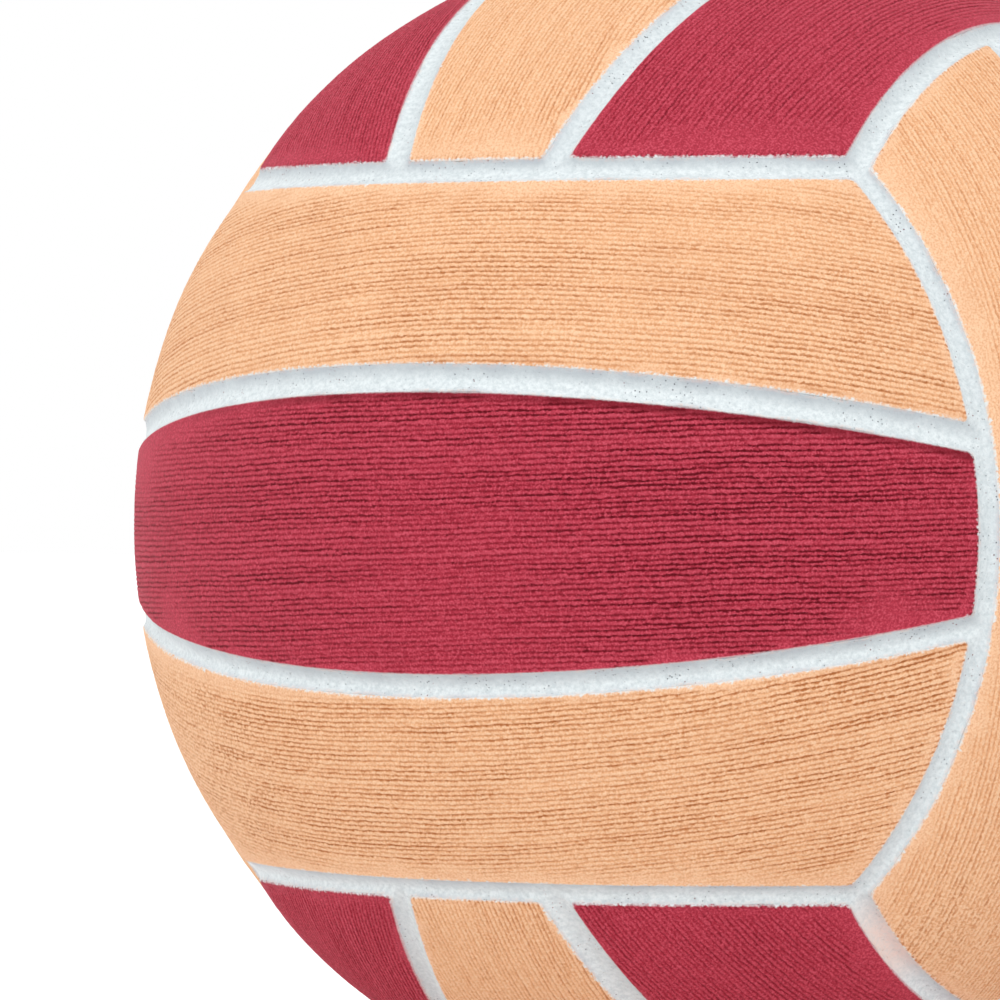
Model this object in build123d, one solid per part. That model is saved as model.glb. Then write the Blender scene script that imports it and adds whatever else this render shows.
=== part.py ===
from build123d import *

import os
from math import asin, degrees, radians, sqrt, tan

# A water polo ball of the women's and junior size, in millimetres.
# It is a layered rubber ball: an air bladder with a self-closing needle valve, a wound nylon layer,
# a white rubber carcass with raised ribs, and eighteen grip panels in the pockets between the ribs.
# The origin is the ball's centre and +Z is up. The front face looks along -Y, and the valve is in
# the middle of the back face, along +Y.
# Each of the six faces has three strips side by side. A face is a round cap of the sphere, cut off
# along its two long sides by the caps beside it, whose strips run square to its own.

# Overall size, 660 mm round
BALL_DIAMETER = 210.0

# Seam layout and the white channels between the panels
STRIP_SEAM_TILT = 14.2  # degrees between a face's middle plane and a seam beside its middle strip
CHANNEL_WIDTH = 4.8
RIB_HEIGHT = 0.6

# Layers, from the outside in
PANEL_THICKNESS = 1.2
CARCASS_THICKNESS = 0.5
WINDING_THICKNESS = 0.5
BLADDER_THICKNESS = 0.7
BOND_LINE = 0.1  # rubber cement between two layers, and on each side of a panel

# Panel edges
PANEL_CORNER_RADIUS = 1.0
PANEL_EDGE_RADIUS = 0.8
VALVE_RIM_RADIUS = 0.4
LARGEST_EDGE_SHARE = 0.7  # an edge is rounded at most this far through the panel

# Valve core, a soft plug with a guide for the needle and a slit that closes by itself
NEEDLE_DIAMETER = 2.0
NEEDLE_CLEARANCE = 0.1
NEEDLE_LEAD_IN = 0.4
NEEDLE_GUIDE_DEPTH = 11.0
SLIT_DEPTH = 4.0
SLIT_THICKNESS = 0.2
CORE_WALL = 2.5
CORE_HEAD_OVERHANG = 1.0
CORE_HEAD_THICKNESS = 1.5

# Valve housing, a rubber cup whose flange is bonded inside the bladder
CORE_CLEARANCE = 0.1
HOUSING_NECK_WALL = 1.3
HOUSING_BODY_WALL = 3.3
HOUSING_FLOOR_THICKNESS = 2.0
HOUSING_FLANGE_WIDTH = 7.0
HOUSING_FLANGE_THICKNESS = 1.2
AIR_HOLE_RADIUS = 1.5
VALVE_RECESS = 0.4  # the valve's outer face below the ball's surface

# Radii of the layers
BALL_RADIUS = BALL_DIAMETER / 2
PANEL_INNER_RADIUS = BALL_RADIUS - PANEL_THICKNESS
CARCASS_OUTER_RADIUS = PANEL_INNER_RADIUS - BOND_LINE
CARCASS_INNER_RADIUS = CARCASS_OUTER_RADIUS - CARCASS_THICKNESS
RIB_TOP_RADIUS = CARCASS_OUTER_RADIUS + RIB_HEIGHT
WINDING_OUTER_RADIUS = CARCASS_INNER_RADIUS - BOND_LINE
WINDING_INNER_RADIUS = WINDING_OUTER_RADIUS - WINDING_THICKNESS
BLADDER_OUTER_RADIUS = WINDING_INNER_RADIUS - BOND_LINE
BLADDER_INNER_RADIUS = BLADDER_OUTER_RADIUS - BLADDER_THICKNESS
FLANGE_OUTER_RADIUS = BLADDER_INNER_RADIUS - BOND_LINE
FLANGE_INNER_RADIUS = FLANGE_OUTER_RADIUS - HOUSING_FLANGE_THICKNESS

# Three seams meet at each corner of a cube inside the ball, this many degrees from a face's axis
CORNER_ANGLE = degrees(asin(sqrt(2 / 3)))

# Cutting shapes reach this far from the ball's centre, well past its surface
CUTTER_REACH = 2 * BALL_RADIUS

# A strip is cut from the shell by a wedge that runs along its face's axis, past the shell at both ends
WEDGE_NEAR_END = 0.5 * BALL_RADIUS
WEDGE_FAR_END = 1.3 * BALL_RADIUS

# Radii of the valve, from its needle guide outwards
NEEDLE_GUIDE_RADIUS = NEEDLE_DIAMETER / 2 + NEEDLE_CLEARANCE
CORE_SHANK_RADIUS = NEEDLE_GUIDE_RADIUS + CORE_WALL
CORE_HEAD_RADIUS = CORE_SHANK_RADIUS + CORE_HEAD_OVERHANG
SHANK_BORE_RADIUS = CORE_SHANK_RADIUS + CORE_CLEARANCE
HEAD_BORE_RADIUS = CORE_HEAD_RADIUS + CORE_CLEARANCE
HOUSING_NECK_RADIUS = HEAD_BORE_RADIUS + HOUSING_NECK_WALL
HOUSING_BODY_RADIUS = SHANK_BORE_RADIUS + HOUSING_BODY_WALL
HOUSING_FLANGE_RADIUS = HOUSING_NECK_RADIUS + HOUSING_FLANGE_WIDTH
VALVE_HOLE_RADIUS = HOUSING_NECK_RADIUS + BOND_LINE

# Places along the valve's axis, measured from the ball's centre
VALVE_TOP = BALL_RADIUS - VALVE_RECESS
CORE_SHOULDER = VALVE_TOP - CORE_HEAD_THICKNESS
NEEDLE_GUIDE_END = VALVE_TOP - NEEDLE_GUIDE_DEPTH
CORE_END = NEEDLE_GUIDE_END - SLIT_DEPTH
HOUSING_FLOOR = CORE_END - CORE_CLEARANCE
HOUSING_END = HOUSING_FLOOR - HOUSING_FLOOR_THICKNESS

# Each face: the direction along its strips, the direction across them, and their names in order
FACES = {
    "front": ((1, 0, 0), (0, 0, 1), ("upper", "middle", "lower")),
    "back": ((-1, 0, 0), (0, 0, 1), ("upper", "middle", "lower")),
    "top": ((0, 1, 0), (-1, 0, 0), ("left", "middle", "right")),
    "bottom": ((0, 1, 0), (1, 0, 0), ("right", "middle", "left")),
    "right": ((0, 0, 1), (0, -1, 0), ("front", "middle", "back")),
    "left": ((0, 0, 1), (0, 1, 0), ("back", "middle", "front")),
}
VALVE_PANEL = "panel_back_middle"
VALVE_PLANE = Plane((0, 0, 0), x_dir=(1, 0, 0), z_dir=(0, 1, 0))


def hollow_sphere(outer_radius, inner_radius):
    """A spherical shell about the ball's centre."""
    return Sphere(outer_radius) - Sphere(inner_radius)


def cone_from_centre(axis, start_side, half_angle, near, far):
    """The stretch between two distances along an axis of a cone whose tip is the ball's centre."""
    slope = tan(radians(half_angle))
    cone = Cone(near * slope, far * slope, far - near, align=(Align.CENTER, Align.CENTER, Align.MIN))
    return Plane((0, 0, 0), x_dir=start_side, z_dir=axis).location * Pos(0, 0, near) * cone


def block_above(tilt, offset):
    """All that lies above a plane along X, tilted up from the front face's axis and moved up."""
    side = 2 * CUTTER_REACH
    block = Box(side, side, side, align=(Align.CENTER, Align.CENTER, Align.MIN))
    return Rotation(-tilt, 0, 0) * Pos(0, 0, offset) * block


def strip_wedge(strip, half_gap):
    """A wedge through the middle or upper strip of the front face, half_gap away from its seams."""
    gap_angle = degrees(half_gap / BALL_RADIUS)
    face_angle = CORNER_ANGLE - gap_angle
    face = cone_from_centre((0, -1, 0), (0, 0, 1), face_angle, WEDGE_NEAR_END, WEDGE_FAR_END)
    if strip == "middle":
        below_upper_seam = face - block_above(STRIP_SEAM_TILT, -half_gap)
        return below_upper_seam & block_above(-STRIP_SEAM_TILT, half_gap)
    top_cap = cone_from_centre((0, 0, 1), (0, 1, 0), CORNER_ANGLE + gap_angle, 0, CUTTER_REACH)
    return (face & block_above(STRIP_SEAM_TILT, half_gap)) - top_cap


def edge_radius(wanted):
    """A panel's edge radius, limited by the panel's thickness."""
    return min(wanted, LARGEST_EDGE_SHARE * PANEL_THICKNESS)


def panel(strip):
    """A grip panel of the front face, with rounded corners and a rounded outer edge."""
    wedge = strip_wedge(strip, CHANNEL_WIDTH / 2)
    corners = wedge.edges().filter_by(
        lambda edge: ((edge @ 0).length - BALL_RADIUS) * ((edge @ 1).length - BALL_RADIUS) < 0
    )
    blank = fillet(corners, PANEL_CORNER_RADIUS) & hollow_sphere(BALL_RADIUS, PANEL_INNER_RADIUS)
    middle_radius = (BALL_RADIUS + PANEL_INNER_RADIUS) / 2
    outer_edges = blank.edges().filter_by(
        lambda edge: min((edge @ 0).length, (edge @ 1).length) > middle_radius
    )
    return fillet(outer_edges, edge_radius(PANEL_EDGE_RADIUS))


def face_places(strip_order):
    """The place of each strip: the outer strip that comes last is the first one turned half round."""
    return {
        strip_order[0]: ("outer", Rotation(0, 0, 0)),
        strip_order[1]: ("middle", Rotation(0, 0, 0)),
        strip_order[2]: ("outer", Rotation(0, 180, 0)),
    }


def placed_strips(middle, outer):
    """Copies of a middle and an outer strip on all six faces, by panel name."""
    shapes = {"middle": middle, "outer": outer}
    strips = {}
    for face, (along, across, names) in FACES.items():
        face_location = Plane((0, 0, 0), x_dir=along, z_dir=across).location
        for name, (shape, turn) in face_places(names).items():
            strips[f"panel_{face}_{name}"] = face_location * turn * shapes[shape]
    return strips


def upright(radius, bottom, top):
    """A cylinder on the valve's axis, drawn upright, between two distances from the centre."""
    return Pos(0, 0, bottom) * Cylinder(radius, top - bottom, align=(Align.CENTER, Align.CENTER, Align.MIN))


def valve_hole():
    """The round hole for the valve's neck through all the layers."""
    return VALVE_PLANE.location * upright(VALVE_HOLE_RADIUS, HOUSING_END, CUTTER_REACH)


def panel_with_valve_hole(whole_panel):
    """The panel round the valve, with a rounded rim to its hole."""
    holed = whole_panel - valve_hole()
    rim = holed.edges().filter_by(GeomType.CIRCLE).sort_by(Axis.Y)[-1]
    return fillet(rim, edge_radius(VALVE_RIM_RADIUS))


def ribbed_carcass():
    """The white rubber shell, with a pocket for each panel and a rib under each seam."""
    half_rib = CHANNEL_WIDTH / 2 - BOND_LINE
    pocket_depth = hollow_sphere(RIB_TOP_RADIUS + RIB_HEIGHT, CARCASS_OUTER_RADIUS)
    pockets = placed_strips(
        strip_wedge("middle", half_rib) & pocket_depth,
        strip_wedge("outer", half_rib) & pocket_depth,
    )
    carcass = Sphere(RIB_TOP_RADIUS)
    for pocket in pockets.values():
        carcass -= pocket
    return carcass - Sphere(CARCASS_INNER_RADIUS) - valve_hole()


def nylon_winding():
    """The layer of nylon thread that is wound over the bladder and set in rubber."""
    return hollow_sphere(WINDING_OUTER_RADIUS, WINDING_INNER_RADIUS) - valve_hole()


def bladder():
    """The airtight rubber bladder."""
    return hollow_sphere(BLADDER_OUTER_RADIUS, BLADDER_INNER_RADIUS) - valve_hole()


def valve_housing():
    """The cup that holds the valve core, with a flange that follows the inside of the bladder."""
    inside_flange = (FLANGE_OUTER_RADIUS + FLANGE_INNER_RADIUS) / 2
    flange = hollow_sphere(FLANGE_OUTER_RADIUS, FLANGE_INNER_RADIUS)
    flange &= upright(HOUSING_FLANGE_RADIUS, 0, CUTTER_REACH)
    housing = flange + upright(HOUSING_NECK_RADIUS, inside_flange, VALVE_TOP)
    housing += upright(HOUSING_BODY_RADIUS, HOUSING_END, inside_flange)
    housing -= upright(HEAD_BORE_RADIUS, CORE_SHOULDER - CORE_CLEARANCE, VALVE_TOP)
    housing -= upright(SHANK_BORE_RADIUS, HOUSING_FLOOR, VALVE_TOP)
    housing -= upright(AIR_HOLE_RADIUS, HOUSING_END, HOUSING_FLOOR)
    return VALVE_PLANE.location * housing


def valve_core():
    """The soft plug: a needle guide from outside, then a slit that the air pressure closes."""
    core = upright(CORE_HEAD_RADIUS, CORE_SHOULDER, VALVE_TOP)
    core += upright(CORE_SHANK_RADIUS, CORE_END, CORE_SHOULDER)
    core -= upright(NEEDLE_GUIDE_RADIUS, NEEDLE_GUIDE_END, VALVE_TOP)
    mouth = core.edges().filter_by(GeomType.CIRCLE).group_by(Axis.Z)[-1].sort_by(SortBy.RADIUS)[0]
    core = chamfer(mouth, NEEDLE_LEAD_IN)
    slit_width = 2 * NEEDLE_GUIDE_RADIUS
    slit = Box(slit_width, SLIT_THICKNESS, SLIT_DEPTH, align=(Align.CENTER, Align.CENTER, Align.MIN))
    core -= Pos(0, 0, CORE_END) * slit
    return VALVE_PLANE.location * core


def all_nodes():
    """Every piece of the ball, by name."""
    nodes = placed_strips(panel("middle"), panel("outer"))
    nodes[VALVE_PANEL] = panel_with_valve_hole(nodes[VALVE_PANEL])
    nodes["ribbed_carcass"] = ribbed_carcass()
    nodes["nylon_winding"] = nylon_winding()
    nodes["bladder"] = bladder()
    nodes["valve_housing"] = valve_housing()
    nodes["valve_core"] = valve_core()
    return nodes


os.makedirs("parts", exist_ok=True)
for node_name, shape in all_nodes().items():
    export_step(shape, f"parts/{node_name}.step")
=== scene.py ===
# A water polo ball: ribbed grip panels, white seam channels and a valve, on a plain studio floor.
from math import asin, atan, cos, pi, radians, sin, sqrt, tan

import bpy
import numpy as np
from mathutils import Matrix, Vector


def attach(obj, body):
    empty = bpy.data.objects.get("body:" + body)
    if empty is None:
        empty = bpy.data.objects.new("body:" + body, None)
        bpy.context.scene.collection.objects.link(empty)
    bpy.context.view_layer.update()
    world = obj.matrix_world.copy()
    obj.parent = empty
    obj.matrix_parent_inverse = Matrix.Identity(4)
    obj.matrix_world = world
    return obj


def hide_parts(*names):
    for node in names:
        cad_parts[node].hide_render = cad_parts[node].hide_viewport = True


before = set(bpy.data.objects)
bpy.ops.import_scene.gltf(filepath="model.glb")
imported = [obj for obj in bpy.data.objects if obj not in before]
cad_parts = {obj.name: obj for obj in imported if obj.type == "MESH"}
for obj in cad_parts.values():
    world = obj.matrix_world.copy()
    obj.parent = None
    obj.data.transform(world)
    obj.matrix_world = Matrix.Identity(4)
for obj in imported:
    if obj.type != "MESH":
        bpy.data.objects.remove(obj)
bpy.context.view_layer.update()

# The ball, in millimetres and radians
MM = 0.001
BALL_RADIUS = 105.0
PANEL_THICKNESS = 1.2
PANEL_CORNER_RADIUS = 1.0
SEAM_TILT = radians(14.2)
CAP_LATITUDE = asin(1 / sqrt(3))
CORNER_TURN = radians(45)
STRIP_END = sqrt(2 / 3 - (tan(SEAM_TILT) / sqrt(3)) ** 2)
JUNCTION_TURN = atan(tan(SEAM_TILT) / sqrt(3) / STRIP_END)
SEAM_REACH = asin(STRIP_END)

# The ribs of the grip, and the grid of points that follows them
RIB_PITCH = 0.87
RIB_UNEVENNESS = 0.07
RIB_WIDTH_LIMITS = (0.65, 1.4)
RIB_DEPTH = 0.2
GROOVE_HALF_WIDTH = 0.13
GROOVE_SHARE = 0.8
BULGE_SHARE = 0.2
GROOVE_FORCES = (0.7, 1.1)
GROOVE_USUAL_FORCE = 0.92
GROOVE_FORCE_LIMITS = (0.3, 1.3)
OUTER_RIB_TILT = radians(16.5)
RIB_SLANT = radians(2.2)
RIB_PHASES = np.array([0.0, 0.15, 0.38, 0.62, 0.85])
VALLEYS_BEFORE = 3
SPARE_VALLEYS = 8
SPARE_SHARE = 1.15
VALLEYS_APART = 37.7
COLUMN_STEP = 0.65
END_COLUMNS = np.array([0.0, 0.1, 0.22, 0.36, 0.55, 0.85, 1.3, 1.9, 2.7, 3.6])
ROW_SEARCH_REACH = 45
ROW_SEARCH_STEPS = 40
ROW_CLEARANCE = 0.02
UNDERSIDE_STEP = 6.0
VALVE_UNDERSIDE_STEP = 1.0

# Unevenness, as height and length of waves, and where its random numbers start
WAVE_COUNT = 12
WAVE_LENGTHS = (0.6, 1.6)
RIB_SWAY = (0.14, 60)
RIB_BEND = (0.04, 14)
RIB_JITTER = (0.05, 2.0)
FORCE_CHANGE = (0.18, 20)
FORCE_DRIFT = (0.12, 70)
PANEL_SWELL = (0.04, 28)
PANEL_GRAIN = (0.012, 2.4)
EDGE_DRIFT = (0.1, 25)
EDGE_JITTER = (0.1, 4)
CHANNEL_SWELL = (0.03, 12)
CHANNEL_GRAIN = (0.015, 2.8)
CHANNEL_SEED = 71
PANEL_SEED_STEP = 100

# How panels and channels meet
PILLOW_DROP = 0.2
PILLOW_REACH = 9.0
EDGE_ROLL = 0.35
EDGE_FALL = 1.5
CHANNEL_EDGE_DEPTH = 0.36
CHANNEL_DEPTH = 0.85
CHANNEL_STEP = 1.0
COVE_SHARES = (0.0, 0.25, 0.5, 0.7, 0.87, 1.0)
LIP_INSETS = (0.15, 0.42)
LIP_CURVE = 2.6
TUCK_INSET = 0.6
TUCK_SHARES = (0.0, 0.4, 0.75, 1.0)
HIDDEN_GAP = -1.0
CARCASS_RADIUS = 103.7
CARCASS_THICKNESS = 0.5
MERGE_STEPS = 1000

# The left face, which lies low beside the front one: how far in each half, and where it falls and rises
LOW_FACE_DROP = 1.3
LOW_FACE_LOWER_DROP = 0.95
LOW_FACE_MIDDLE = (-0.25, 0.25)
LOW_FACE_FALL = (0.0, 3.0)
LOW_FACE_RISE = (12.0, 34.0)

# The valve, on the +Y axis, and the panel round it
VALVE_HOLE_RADIUS = 6.1
VALVE_HOLE_CLEARANCE = 0.05
VALVE_AXIS = np.array([0.0, 1.0, 0.0])
VALVE_PANEL = "panel_back_middle"
VALVE_RIM_DROP = 0.25
VALVE_RIM_WIDTH = 0.7
VALVE_FADE = (2.0, 5.0)

# Each face: the way its strips run, the way across them, and its strips in order across
FACES = {
    "front": ((1, 0, 0), (0, 0, 1), ("upper", "middle", "lower")),
    "back": ((-1, 0, 0), (0, 0, 1), ("upper", "middle", "lower")),
    "top": ((0, 1, 0), (-1, 0, 0), ("left", "middle", "right")),
    "bottom": ((0, 1, 0), (1, 0, 0), ("right", "middle", "left")),
    "right": ((0, 0, 1), (0, -1, 0), ("front", "middle", "back")),
    "left": ((0, 0, 1), (0, 1, 0), ("back", "middle", "front")),
}
CRIMSON_OUTER_FACES = ("top", "bottom")

# How far panels stop short of their seams, laid by hand: at the ends, then at each long side
EVEN_INSETS = (2.2, 2.2, 2.2)
PANEL_INSETS = {
    "front_upper": (2.4, 2.2, 2.6),
    "front_middle": (2.4, 2.45, 2.25),
    "front_lower": (2.4, 1.6, 2.35),
    "right_front": (1.9, 2.2, 1.3),
    "top_left": (1.8, 2.5, 2.2),
    "top_middle": (1.8, 2.35, 2.5),
    "top_right": (1.8, 1.85, 2.5),
    "bottom_right": (1.45, 2.4, 1.9),
    "bottom_middle": (1.45, 2.6, 2.6),
    "bottom_left": (1.45, 1.7, 2.2),
}

# How strong the grooves of each panel look
USUAL_STRENGTH = 0.7
RIB_STRENGTHS = {"front_upper": 0.68, "front_middle": 1.05, "front_lower": 0.95, "right_front": 0.5,
                 "top_left": 0.6, "top_middle": 0.5, "top_right": 0.62,
                 "bottom_left": 0.45, "bottom_middle": 0.55, "bottom_right": 0.45}

# The margins where ribs fade out: at a panel's ends, along its first seam and along its other long side
USUAL_BARE_END = 3.5
BARE_ENDS = {"front": 1.8, "top": 7.0, "bottom": 2.6}
BARE_END_CHANGE = (0.5, 50)
BARE_END_LIMITS = (1.0, 12.0)
SEAM_FADE = 1.4
BARE_SIDES = {"front_middle": 8.0, "front_lower": 6.0}
START_SHARES = (-0.95, 0.1)
START_WEAKNESS = 0.04
USUAL_OUTER_FADE = (5.5, 5.5)
OUTER_FADES = {"right_front": (4.0, 9.5)}
OUTER_FADE_SHARES = (-0.3, 0.5)

# How far the edges of those margins wander
WANDER_LENGTH = 7
END_WANDER = 0.5
SEAM_WANDER = 0.4
OUTER_WANDER = 0.6
VALVE_WANDER = 0.3
SMOOTH_WANDER = 0.6

# The dark band along a panel's first seam
USUAL_BAND = 0.2
DARK_BANDS = {"front_middle": 1.0}
BAND_EDGE = (0.9, 2.1)
BAND_USUAL_FORCE = 0.9
BAND_CHANGE = (0.4, 35)

# Where a panel's ribs are pressed smooth, and where they are broken into pebbles: middle and radius
SMOOTH_LEVEL = 0.9
SMOOTH_PATCHES = {
    "front_middle": [((-0.71, -0.69, 0.13), 15), ((-0.57, -0.80, -0.20), 13), ((-0.24, -0.94, -0.25), 8),
                     ((0.70, -0.69, -0.17), 13)],
}
PEBBLE_LEVEL = 0.5
PEBBLED_PATCHES = {
    "right_front": [((0.62, -0.38, -0.69), 26)],
    "front_lower": [((-0.63, -0.66, -0.41), 44)],
}
PATCH_CORE = 0.3

# Where the white paint is stained pink, and how far round it
STAIN_PLACE = (61.3, -50.1, -69.0)
STAIN_REACH = 13.0

# Texture maps: start and length of a panel's top each way, strips for its other faces, then the channels
MAP_ALONG = (0.04, 0.94)
MAP_ACROSS = (0.02, 0.96)
MAP_UNDERSIDE = 0.018
MAP_WALL = 0.012
MAP_HOLE = 0.2
MAP_RUNS = 4
MAP_RUN = (0.01, 0.98)
MAP_ROWS = (0.08, 0.84)
MAP_FAN = (0.93, 0.04)

# Where the camera stands, in radians and metres, its lens, and the ball's middle in the picture
CAMERA_AZIMUTH = radians(30.1)
CAMERA_ELEVATION = radians(0.9)
CAMERA_DISTANCE = 1.2443
SENSOR_MM = 36
LENS_MM = 252.6
PICTURE_PIXELS = 1000
BALL_CENTRE_PIXEL = (725.5, 524.0)

# The studio: light from all round, each lamp's place and size in metres and power in watts, and the floor
AMBIENT_LIGHT = 0.79
LAMPS = {
    "key": ((0.4, -1.4, 1.4), 0.9, 5.6),
    "top": ((0.0, -0.35, 1.5), 1.1, 2.5),
    "fill": ((1.5, -1.2, 0.1), 1.2, 4),
    "side": ((-1.5, -0.6, -0.02), 1.2, 3.6),
}
FLOOR_REACH = 4.0
FLOOR_COLOUR = (0.93, 0.93, 0.93, 1)
FLOOR_GLOW = (0.4, 0.4, 0.4, 1)


# Small tools for arrays of points

def unit(vectors):
    return vectors / np.linalg.norm(vectors, axis=-1, keepdims=True)


def smooth_step(low, high, values):
    share = np.clip((values - low) / (high - low), 0, 1)
    return share * share * (3 - 2 * share)


def ripple(points, wavelength, seed):
    """Smooth noise of about unit height at points, with waves near one length."""
    random = np.random.default_rng(seed)
    directions = unit(random.normal(size=(WAVE_COUNT, points.shape[-1])))
    numbers = 2 * pi / (wavelength * random.uniform(*WAVE_LENGTHS, WAVE_COUNT))
    phases = random.uniform(0, 2 * pi, WAVE_COUNT)
    total = np.zeros(points.shape[:-1])
    for direction, number, phase in zip(directions, numbers, phases):
        total += np.sin(points @ direction * number + phase)
    return total * sqrt(2 / WAVE_COUNT)


def waves(points, size, seed):
    """Smooth noise at points, of a size given as height and length."""
    height, length = size
    return height * ripple(points, length, seed)


def turned(vector, axis, angle):
    return (vector * cos(angle) + np.cross(axis, vector) * sin(angle)
            + axis * np.dot(axis, vector) * (1 - cos(angle)))


def arc_distance(points, direction):
    """How far each point is from a direction, in millimetres along the ball."""
    return BALL_RADIUS * np.arccos(np.clip(points @ direction, -1, 1))


def meridian_move(points, direction, latitude):
    """Points moved straight towards direction until they reach a latitude about it."""
    level = unit(points - (points @ direction)[:, None] * direction)
    return direction * sin(latitude) + level * cos(latitude)


def patch_share(points, patches, wander):
    """How far each point is inside some round patches with a wandering edge, from 0 to 1."""
    share = np.zeros(len(points))
    for middle, radius in patches:
        distance = arc_distance(points, unit(np.array(middle)))
        share = np.maximum(share, 1 - smooth_step(PATCH_CORE * radius, radius, distance + wander))
    return share


# Panels as cells of the sphere

def all_strips():
    return [(face, strip) for face, (_, _, strips) in FACES.items() for strip in strips]


def panel_node(face, strip):
    return f"panel_{face}_{strip}"


def face_directions(face):
    along, across, _ = FACES[face]
    along = np.array(along, float)
    across = np.array(across, float)
    return along, across, np.cross(along, across)


def strip_side(face, strip):
    """1, 0 or -1 for the strip before, in or after the middle of its face."""
    return 1 - FACES[face][2].index(strip)


def strip_middle(face, strip):
    _, across, normal = face_directions(face)
    tilt = strip_side(face, strip) * (SEAM_TILT + CAP_LATITUDE) / 2
    return normal * cos(tilt) + across * sin(tilt)


def cell_sides(face, strip):
    """The seams round a panel, as (direction, latitude): the panel is where its latitude is higher."""
    _, across, normal = face_directions(face)
    side = strip_side(face, strip)
    sides = [(normal, CAP_LATITUDE)]
    if side == 0:
        for way in (1, -1):
            sides.append((normal * sin(SEAM_TILT) - way * across * cos(SEAM_TILT), 0.0))
    else:
        sides.append((side * across * cos(SEAM_TILT) - normal * sin(SEAM_TILT), 0.0))
        sides.append((-side * across, -CAP_LATITUDE))
    return sides


def seam_distances(points, sides):
    """How far each point is inside the middle line of each seam, in millimetres."""
    distances = []
    for direction, latitude in sides:
        distances.append(BALL_RADIUS * (np.arcsin(np.clip(points @ direction, -1, 1)) - latitude))
    return np.stack(distances, axis=-1)


def panel_insets(face, strip):
    return np.array(PANEL_INSETS.get(f"{face}_{strip}", EVEN_INSETS))


def edge_distance(gaps):
    """How far inside its panel's rounded outline each point is, from its distances to the edges."""
    nearest = np.sort(gaps, axis=-1)
    short = np.clip(PANEL_CORNER_RADIUS - nearest[..., :2], 0, None)
    rounded = PANEL_CORNER_RADIUS - np.hypot(short[..., 0], short[..., 1])
    return np.where(short[..., 1] > 0, rounded, nearest[..., 0])


def low_face(points):
    """How far the ball's surface lies below its radius at each point."""
    from_front = BALL_RADIUS * (CAP_LATITUDE - np.arcsin(np.clip(-points[..., 1], -1, 1)))
    from_ends = BALL_RADIUS * (np.arcsin(np.clip(-points[..., 0], -1, 1)) - CAP_LATITUDE)
    fall = smooth_step(*LOW_FACE_FALL, np.minimum(from_front, from_ends))
    upper = smooth_step(*LOW_FACE_MIDDLE, points[..., 2])
    drop = LOW_FACE_LOWER_DROP + (LOW_FACE_DROP - LOW_FACE_LOWER_DROP) * upper
    return drop * fall * (1 - smooth_step(*LOW_FACE_RISE, from_front))


# The grid of a panel: rows follow the ribs, columns run from end to end

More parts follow.
